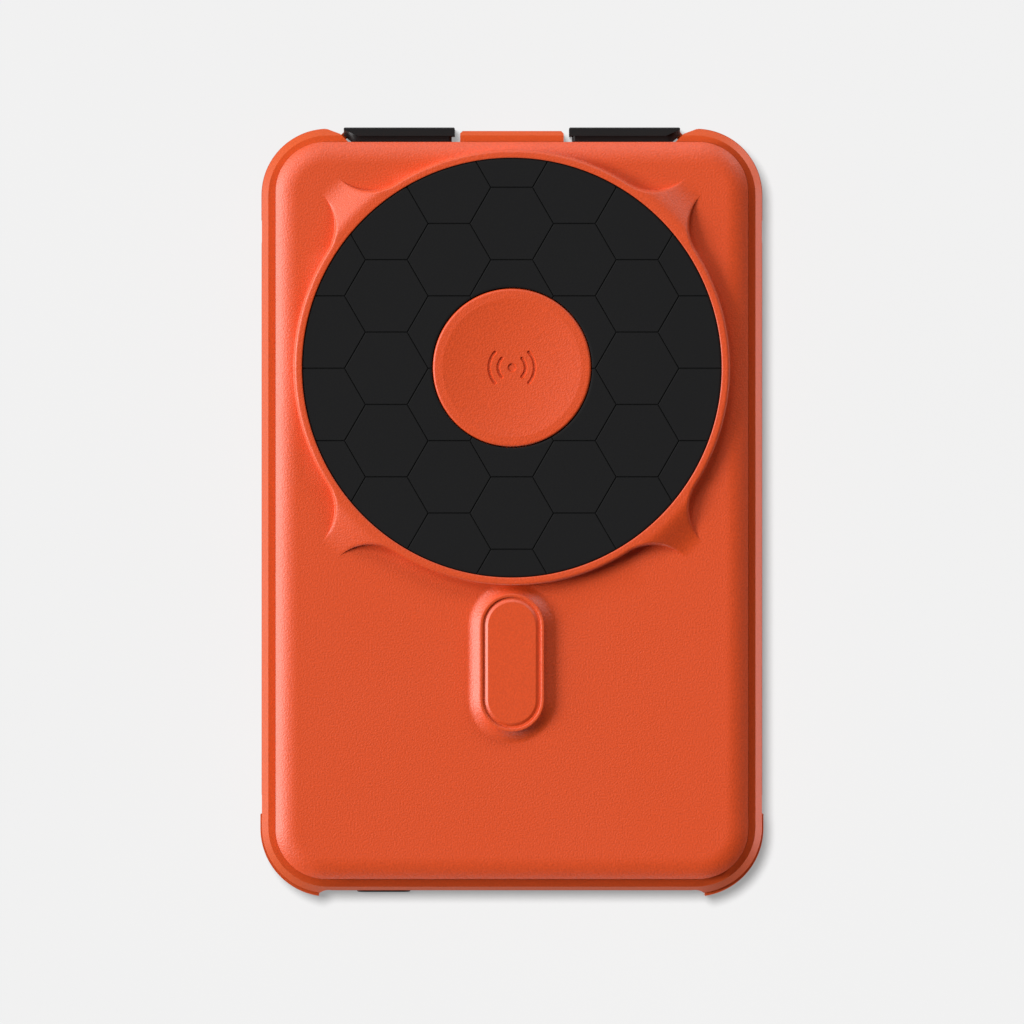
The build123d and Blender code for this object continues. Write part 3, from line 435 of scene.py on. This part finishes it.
board = moulded("solder_mask", (0.015, 0.110, 0.045), 0.12, 0.35, 0.04, 1800.0, 0.004)
amber = moulded("polyimide", (0.42, 0.20, 0.03), 0.08, 0.30, 0.03, 1800.0, 0.003)

# ---------------------------------------------------------------- charging face
# underside of its solid, then for the net: turn of a scallop's arc, half turn of the arcs across
# a wing, and the distance between those
FACE_BASE_Z = 13.5
SCALLOP_TURN = 1.36
WING_TURN = 0.21
WING_STEP = 0.42
DIAGONALS = [math.pi / 4 + quarter * math.pi / 2 for quarter in range(4)]


def pillow_lines():
    """Loops round the face, closer together where its edge bends."""
    lines = []
    for depth in quarter_steps(PILLOW_EDGE, 14) + [PILLOW_EDGE + 0.3, PILLOW_EDGE + 0.9]:
        low, high = face_low[:2] + depth, face_high[:2] - depth
        loop = rounded_loop(low, high, PILLOW_R - depth, turns=22, across=44, along=70)
        lines.append((loop, True))
    return lines


def rim_lines():
    """Arcs along the ring between the wings, and along the two scallops of each wing."""
    foot_depths = [-RING_FOOT * share for share in (1.0, 0.6, 0.3, 0.12)]
    reach = RING_R + SCALLOP_R
    lines = []
    for depth in foot_depths + [-WALL_STEP, WALL_STEP] + quarter_steps(RING_EDGE, 6)[1:]:
        for diagonal in DIAGONALS:
            ring_start = diagonal + SCALLOP_LEAN
            ring_stop = diagonal + math.pi / 2 - SCALLOP_LEAN
            arc = arc_line(RING, RING_R - depth, ring_start, ring_stop, count=110)
            lines.append((arc, False))
            for side in (-1, 1):
                at = diagonal + side * SCALLOP_LEAN
                centre = RING + reach * np.array((math.cos(at), math.sin(at)))
                start = at + math.pi
                stop = start + side * SCALLOP_TURN
                arc = arc_line(centre, SCALLOP_R + depth, start, stop, count=34)
                lines.append((arc, False))
    return lines


def wing_lines():
    """Arcs across the slope of each wing."""
    lines = []
    for radius in np.arange(RING_R - 0.5, WING_TIP + 0.5, WING_STEP):
        for diagonal in DIAGONALS:
            arc = arc_line(RING, radius, diagonal - WING_TURN, diagonal + WING_TURN, count=26)
            lines.append((arc, False))
    return lines


def seat_lines():
    """Circles at the wall and the lip of the pad seat."""
    gaps = [-0.3, SEAT_GAP - WALL_STEP, SEAT_GAP + WALL_STEP]
    gaps += [SEAT_GAP + SEAT_EDGE * share for share in (0.3, 1.0)]
    gaps += [0.3, 0.55]
    lines = [(circle_loop(RING, PAD_R + gap, count=420), True) for gap in gaps]
    lines.append((circle_loop(RING, PAD_R * 0.5, count=60), True))
    return lines


def pill_lines():
    """Loops at the pocket, the rim and the ramp round the alignment pill."""
    halves = [PILL_POCKET - WALL_STEP, PILL_POCKET + WALL_STEP]
    halves += [PILL_POCKET + POCKET_EDGE * share for share in (0.3, 1.0)]
    halves += [PILL_RIM - depth for depth in (PILL_EDGE, 0.1, 0.04, WALL_STEP, -WALL_STEP)]
    ramp_shares = (0.08, 0.18, 0.3, 0.42, 0.56, 0.7, 0.85, 1.0, 1.12)
    halves += [PILL_RIM + PILL_FOOT * share for share in ramp_shares]
    halves += [PILL_POCKET - 0.4]
    return [(stadium_loop(PILL, half, PILL_STRAIGHT), True) for half in halves]


face_lines = pillow_lines() + rim_lines() + wing_lines() + seat_lines() + pill_lines()
charging_face = relief("charging_face", face_lines, face_height, FACE_BASE_Z, orange)
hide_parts("front_shell")
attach(charging_face, "housing")

# ---------------------------------------------------------------- hexagon pad
# hexagons across their flats, grooves between them, rounded edges of the pad, hole for the disc,
# and step of the net along the grooves
HEX_FLATS = 10.33
GROOVE_HALF = 0.13
GROOVE_DEPTH = 0.17
GROOVE_CURVE = 1.2
PAD_EDGE = 0.22
PAD_HOLE_EDGE = 0.132
PAD_HOLE = DISC_R + 0.16
HEX_STEP = 1.2
hex_side = HEX_FLATS / math.sqrt(3)
LATTICE = RING - (0.0, 0.11)


def hex_wall_distance(x, y):
    """Distance to the nearest wall of the hexagon lattice."""
    u, v = x - LATTICE[0], y - LATTICE[1]
    best = np.full(np.shape(u), FAR)
    second = np.full(np.shape(u), FAR)
    column_near = np.round(u / (1.5 * hex_side))
    for shift in (-1, 0, 1):
        column = column_near + shift
        lift = (column % 2) * HEX_FLATS / 2
        row = np.round((v - lift) / HEX_FLATS)
        for row_shift in (-1, 0, 1):
            cx = column * 1.5 * hex_side
            cy = (row + row_shift) * HEX_FLATS + lift
            away = np.hypot(u - cx, v - cy)
            second = np.where(away < best, best, np.minimum(second, away))
            best = np.minimum(best, away)
    return (second ** 2 - best ** 2) / (2 * HEX_FLATS)


def pad_height(x, y):
    """Top of the pad with its grooves and its rounded edges."""
    wall = hex_wall_distance(x, y)
    radius = np.hypot(x - RING[0], y - RING[1])
    groove = GROOVE_DEPTH * np.clip(1 - wall / GROOVE_HALF, 0, 1) ** GROOVE_CURVE
    outer = rounding(PAD_R - radius, PAD_EDGE)
    inner = rounding(radius - PAD_HOLE, PAD_HOLE_EDGE)
    return PAD_Z - np.maximum(groove, np.maximum(outer, inner))


def pad_lines():
    """Circles at the pad's edges and loops inside the walls of every hexagon."""
    lines = []
    for depth in quarter_steps(PAD_EDGE, 4) + [PAD_EDGE + 0.2]:
        lines.append((circle_loop(RING, PAD_R - depth, count=360), True))
    for depth in quarter_steps(PAD_HOLE_EDGE, 3) + [0.4]:
        lines.append((circle_loop(RING, PAD_HOLE + depth, count=180), True))
    for column in range(-4, 5):
        for row in range(-5, 6):
            centre = LATTICE + np.array((column * 1.5 * hex_side, (row + (column % 2) / 2) * HEX_FLATS))
            if np.hypot(*(centre - RING)) > PAD_R + hex_side:
                continue
            for inset in (0.0, GROOVE_HALF * 0.5, GROOVE_HALF, GROOVE_HALF + 0.12):
                corners = circle_loop(centre, hex_side - inset * 2 / math.sqrt(3), count=6)
                sides = [straight(a, b, HEX_STEP) for a, b in zip(corners, np.roll(corners, -1, axis=0))]
                loop = np.vstack(sides)
                if (np.hypot(*(loop - RING).T) > PAD_R - 0.02).all():
                    continue
                lines.append((loop, True))
    return lines


def on_pad(x, y):
    """Whether a place lies between the pad's hole and its outer edge."""
    radius = np.hypot(x - RING[0], y - RING[1])
    return (radius < PAD_R) & (radius > PAD_HOLE)


pad = relief("hexagon_pad", pad_lines(), pad_height, FACE_Z, pad_black, keep=on_pad, smooth_angle=24)
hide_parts("hex_pad")
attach(pad, "housing")

# ---------------------------------------------------------------- centre disc with its sunk sign
DISC_EDGE = 0.3
DISH_R = 9.9
DISH_DEPTH = 0.55
DISH_CREASE = 0.02
SIGN_DEPTH = 0.2
SIGN_WALL = 0.09
SIGN_HALF = 0.23
SIGN_SPREAD = math.radians(42)
SIGN_RADII = (1.95, 3.25)
SIGN_DOT = 0.6


def sign_distance(x, y):
    """Distance inside the sign's strokes: a dot between two pairs of arcs."""
    u, v = x - RING[0], y - RING[1]
    radius = np.hypot(u, v)
    turn = np.arctan2(v, np.abs(u))
    inside = SIGN_DOT - radius
    for arc_r in SIGN_RADII:
        turned = np.clip(turn, -SIGN_SPREAD, SIGN_SPREAD)
        away = np.hypot(np.abs(u) - arc_r * np.cos(turned), v - arc_r * np.sin(turned))
        inside = np.maximum(inside, SIGN_HALF - away)
    return inside


def disc_height(x, y):
    """Top of the disc: a shallow dish with the sign sunk into it."""
    radius = np.hypot(x - RING[0], y - RING[1])
    dish = DISH_DEPTH * np.clip(1 - (radius / DISH_R) ** 2, 0, 1)
    sunk = SIGN_DEPTH * np.clip(sign_distance(x, y) / SIGN_WALL + 0.5, 0, 1)
    return DISC_Z - dish - sunk - rounding(DISC_R - radius, DISC_EDGE)


def stroke_outline(arc_r, side, half):
    """Outline of one arc stroke with round ends."""
    start, stop = -SIGN_SPREAD, SIGN_SPREAD
    outer = arc_line((0, 0), arc_r + half, start, stop, count=20)
    tip = arc_r * np.array((math.cos(stop), math.sin(stop)))
    tail = arc_r * np.array((math.cos(start), math.sin(start)))
    cap = arc_line(tip, half, stop, stop + math.pi, count=8)[1:-1]
    inner = arc_line((0, 0), arc_r - half, stop, start, count=20)
    end_cap = arc_line(tail, half, start + math.pi, start + 2 * math.pi, count=8)[1:-1]
    loop = np.vstack((outer, cap, inner, end_cap))
    return RING + loop * (side, 1)


def disc_lines():
    """Circles at the disc's edge and down its dish, and the outlines of the sign."""
    crease = [DISH_R + DISH_CREASE, DISH_R, DISH_R - DISH_CREASE]
    inside = [9.0, 8.0, 7.0, 6.0, 5.2, 4.4, 3.9, 2.6, 1.2]
    lines = []
    for depth in quarter_steps(DISC_EDGE, 5) + [0.5]:
        lines.append((circle_loop(RING, DISC_R - depth, count=200), True))
    for radius in crease + inside:
        lines.append((circle_loop(RING, radius, count=120), True))
    for widen in (-0.05, 0.0, 0.05):
        lines.append((circle_loop(RING, SIGN_DOT + widen, count=28), True))
        for arc_r in SIGN_RADII:
            lines.append((stroke_outline(arc_r, 1, SIGN_HALF + widen), True))
            lines.append((stroke_outline(arc_r, -1, SIGN_HALF + widen), True))
    return lines


disc = relief("dished_disc", disc_lines(), disc_height, FACE_Z, orange, smooth_angle=30)
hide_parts("centre_disc")
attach(disc, "housing")

# ---------------------------------------------------------------- alignment pill
CAP_SINK = 0.02
CAP_BEVEL_DROP = 0.22
CAP_BEVEL_WIDTH = 0.4


def cap_height(x, y):
    """Top of the pill with its bevelled edge."""
    edge = PILL_CAP_HALF - stadium_distance(x, y)
    return PILL_TOP - CAP_SINK - CAP_BEVEL_DROP * np.clip(1 - edge / CAP_BEVEL_WIDTH, 0, 1)


cap_lines = [
    (stadium_loop(PILL, PILL_CAP_HALF - depth, PILL_STRAIGHT), True)
    for depth in (0.0, 0.05, 0.34, 0.38, 0.42, 0.5, 1.2)
]
pill = relief("alignment_pill", cap_lines, cap_height, cap_low[2], orange_smooth, smooth_angle=35)
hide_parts("alignment_cap")
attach(pill, "housing")

# ---------------------------------------------------------------- looks of the CAD nodes that stay
CREASE_ANGLE = math.radians(35.0)
MERGE_DISTANCE = 1e-7
FLAT_WEIGHT = 80


def smooth_faces_group():
    """Geometry nodes that join the CAD triangles and shade them smooth up to the crease angle."""
    group = bpy.data.node_groups.new("smooth_faces", "GeometryNodeTree")
    group.interface.new_socket("Geometry", in_out="INPUT", socket_type="NodeSocketGeometry")
    group.interface.new_socket("Geometry", in_out="OUTPUT", socket_type="NodeSocketGeometry")
    start = group.nodes.new("NodeGroupInput")
    end = group.nodes.new("NodeGroupOutput")
    corner = group.nodes.new("GeometryNodeInputMeshEdgeAngle")
    merge = add_node(group, "GeometryNodeMergeByDistance", {
        "Geometry": start.outputs[0], "Distance": MERGE_DISTANCE,
    })
    faces = add_node(group, "GeometryNodeSetShadeSmooth", {"Geometry": merge.outputs["Geometry"]})
    gentle = add_node(group, "FunctionNodeCompare", {
        0: corner.outputs["Unsigned Angle"], 1: CREASE_ANGLE,
    }, operation="LESS_THAN")
    edges = add_node(group, "GeometryNodeSetShadeSmooth", {
        "Geometry": faces.outputs["Geometry"], "Shade Smooth": gentle.outputs["Result"],
    }, domain="EDGE")
    group.links.new(edges.outputs["Geometry"], end.inputs[0])
    return group


def smooth_node(name, material, group):
    """CAD node with smooth curved faces and its own material."""
    piece = nodes[name]
    piece.data.materials.clear()
    piece.data.materials.append(material)
    smoothing = piece.modifiers.new("smooth_faces", "NODES")
    smoothing.node_group = group
    weighted = piece.modifiers.new("flat_stays_flat", "WEIGHTED_NORMAL")
    weighted.keep_sharp = True
    weighted.weight = FLAT_WEIGHT


LOOKS = {
    guard_orange_painted_shade: ["back_shell", "corner_guard_top_left", "corner_guard_top_right",
                   "corner_guard_bottom_left", "corner_guard_bottom_right",
                   "side_grip_left", "side_grip_right"],
    cover_black: ["port_cover_left", "port_cover_right", "seal_gasket"],
    button_black: ["power_button", "switch_plunger"],
    dark_plastic: ["tact_switch", "coil_carrier", "coil_ferrite", "cell_tray",
                   "usb_c_tongue", "usb_a_tongue", "power_inductors", "control_chips",
                   "cell_foam_lower", "cell_foam_middle"],
    steel: ["hinge_pin_left", "hinge_pin_right", "board_screws", "magnet_shunt"],
    nickel: ["usb_c_shell", "usb_a_shell", "alignment_magnet", "magnet_ring", "battery_tabs"],
    black_screw: ["case_screws"],
    brass: ["threaded_inserts", "board_capacitors"],
    copper: ["charging_coil", "coil_leads"],
    aluminium: ["battery_cell_lower", "battery_cell_upper", "shield_plate"],
    board: ["main_board", "button_board"],
    amber: ["flex_ribbon"],
    diffuser: ["light_pipe", "charge_leds"],
}
smooth_faces = smooth_faces_group()
for look, names in LOOKS.items():
    for name in names:
        smooth_node(name, look, smooth_faces)

# ---------------------------------------------------------------- floor
FLOOR_HALF = 3000.0
FLOOR_DROP = 0.02
FLOOR_TONE = 0.06
FLOOR_VARY = 0.0005
FLOOR_GLOW = 0.33
FLOOR_NOISE_SCALE = 8.0
WHITE = (1.0, 1.0, 1.0)


def floor_material():
    """Paper that glows by itself and reflects little, so that no orange light spills onto it."""
    material, tree, shader = node_material("floor_paper")
    noise = grain_noise(tree, FLOOR_NOISE_SCALE, 2.0)
    low, high = np.full(3, FLOOR_TONE - FLOOR_VARY), np.full(3, FLOOR_TONE + FLOOR_VARY)
    tone = tone_ramp(tree, noise.outputs["Fac"], low, high)
    tree.links.new(tone.outputs["Color"], shader.inputs["Base Color"])
    shader.inputs["Roughness"].default_value = 1.0
    shader.inputs["Specular IOR Level"].default_value = 0.0
    shader.inputs["Emission Color"].default_value = (*WHITE, 1)
    shader.inputs["Emission Strength"].default_value = FLOOR_GLOW
    return material


square = ((-1, -1), (1, -1), (1, 1), (-1, 1))
floor_corners = [(sx * FLOOR_HALF, sy * FLOOR_HALF, 0.0) for sx, sy in square]
floor = new_object("floor", floor_corners, [(0, 1, 2, 3)], floor_material())
floor.location.z = cad_box[0].z - FLOOR_DROP * MM
floor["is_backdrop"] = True

# ---------------------------------------------------------------- lights
SOFTBOX_SPREAD = 22
RIM_WORDS = ("back_shell", "corner_guard", "side_grip")
WORLD_STRENGTH = 0.035


def sun(name, direction, strength, spread, colour, lit):
    """Soft distant light from a direction, shining only on the objects in a collection."""
    lamp = bpy.data.lights.new(name, "SUN")
    lamp.energy = strength
    lamp.angle = math.radians(spread)
    lamp.color = colour
    light = bpy.data.objects.new(name, lamp)
    light.rotation_mode = "QUATERNION"
    light.rotation_quaternion = Vector(direction).to_track_quat("Z", "Y")
    bpy.context.scene.collection.objects.link(light)
    light.light_linking.receiver_collection = lit


def from_side(around, up):
    """Direction to a light: 0 degrees around is the left, 90 the top edge; up is its elevation."""
    a, e = math.radians(around), math.radians(up)
    return -math.cos(a) * math.cos(e), math.sin(a) * math.cos(e), math.sin(e)


# where each softbox stands (degrees around, degrees up), and how strong it is
SOFTBOXES = {
    "key_left": ((0, 32), 2.28),
    "key_left_low": ((0, 17), 0.92),
    "key_upper_left": ((30, 32), 0.84),
    "high_left": ((55, 48), 0.62),
    "top_edge": ((90, 30), 0.62),
    "right_back": ((135, 25), 0.80),
    "bottom_low": ((270, 8), 0.52),
}
# lights for the housing's edges alone: the same, then spread in degrees and colour
RIM_LIGHTS = {
    "rim_right": ((184, 3), 2.1, 30, (0.86, 0.88, 1.0)),
    "rim_upper_right": ((143, 12), 1.0, 26, (1.0, 0.94, 0.96)),
}
# light for the floor alone: direction, strength and spread in degrees
FLOOR_LIGHT = ((-0.075, 0.085, 1.0), 28.8, 8)

product_set = bpy.data.collections.new("product_set")
rim_set = bpy.data.collections.new("rim_set")
floor_set = bpy.data.collections.new("floor_set")
floor_set.objects.link(floor)
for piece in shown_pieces():
    product_set.objects.link(piece)
    if piece.name.startswith(RIM_WORDS):
        rim_set.objects.link(piece)
for name, (place, strength) in SOFTBOXES.items():
    sun(name, from_side(*place), strength, SOFTBOX_SPREAD, WHITE, product_set)
for name, (place, strength, spread, colour) in RIM_LIGHTS.items():
    sun(name, from_side(*place), strength, spread, colour, rim_set)
sun("floor_light", *FLOOR_LIGHT, WHITE, floor_set)

world = bpy.data.worlds.new("studio")
world.use_nodes = True
world.node_tree.nodes["Background"].inputs["Color"].default_value = (*WHITE, 1)
world.node_tree.nodes["Background"].inputs["Strength"].default_value = WORLD_STRENGTH
bpy.context.scene.world = world
bpy.context.scene.view_settings.view_transform = "Standard"

# ---------------------------------------------------------------- camera
# width of the view at the top of the housing, and how far the camera stands off its middle
VIEW_WIDTH = 146.2857
CAMERA_SHIFT = (0.014, -0.036)
LENS = 1000.0
SENSOR = 36.0
CLIP_START = 0.1

distance = VIEW_WIDTH * MM * LENS / SENSOR
camera_data = bpy.data.cameras.new("camera")
camera_data.lens = LENS
camera_data.sensor_width = SENSOR
camera_data.clip_start = CLIP_START
camera_data.clip_end = 3 * distance
camera = bpy.data.objects.new("camera", camera_data)
camera.location = (CAMERA_SHIFT[0] * MM, CAMERA_SHIFT[1] * MM, shell_top * MM + distance)
bpy.context.scene.collection.objects.link(camera)
bpy.context.scene.camera = camera
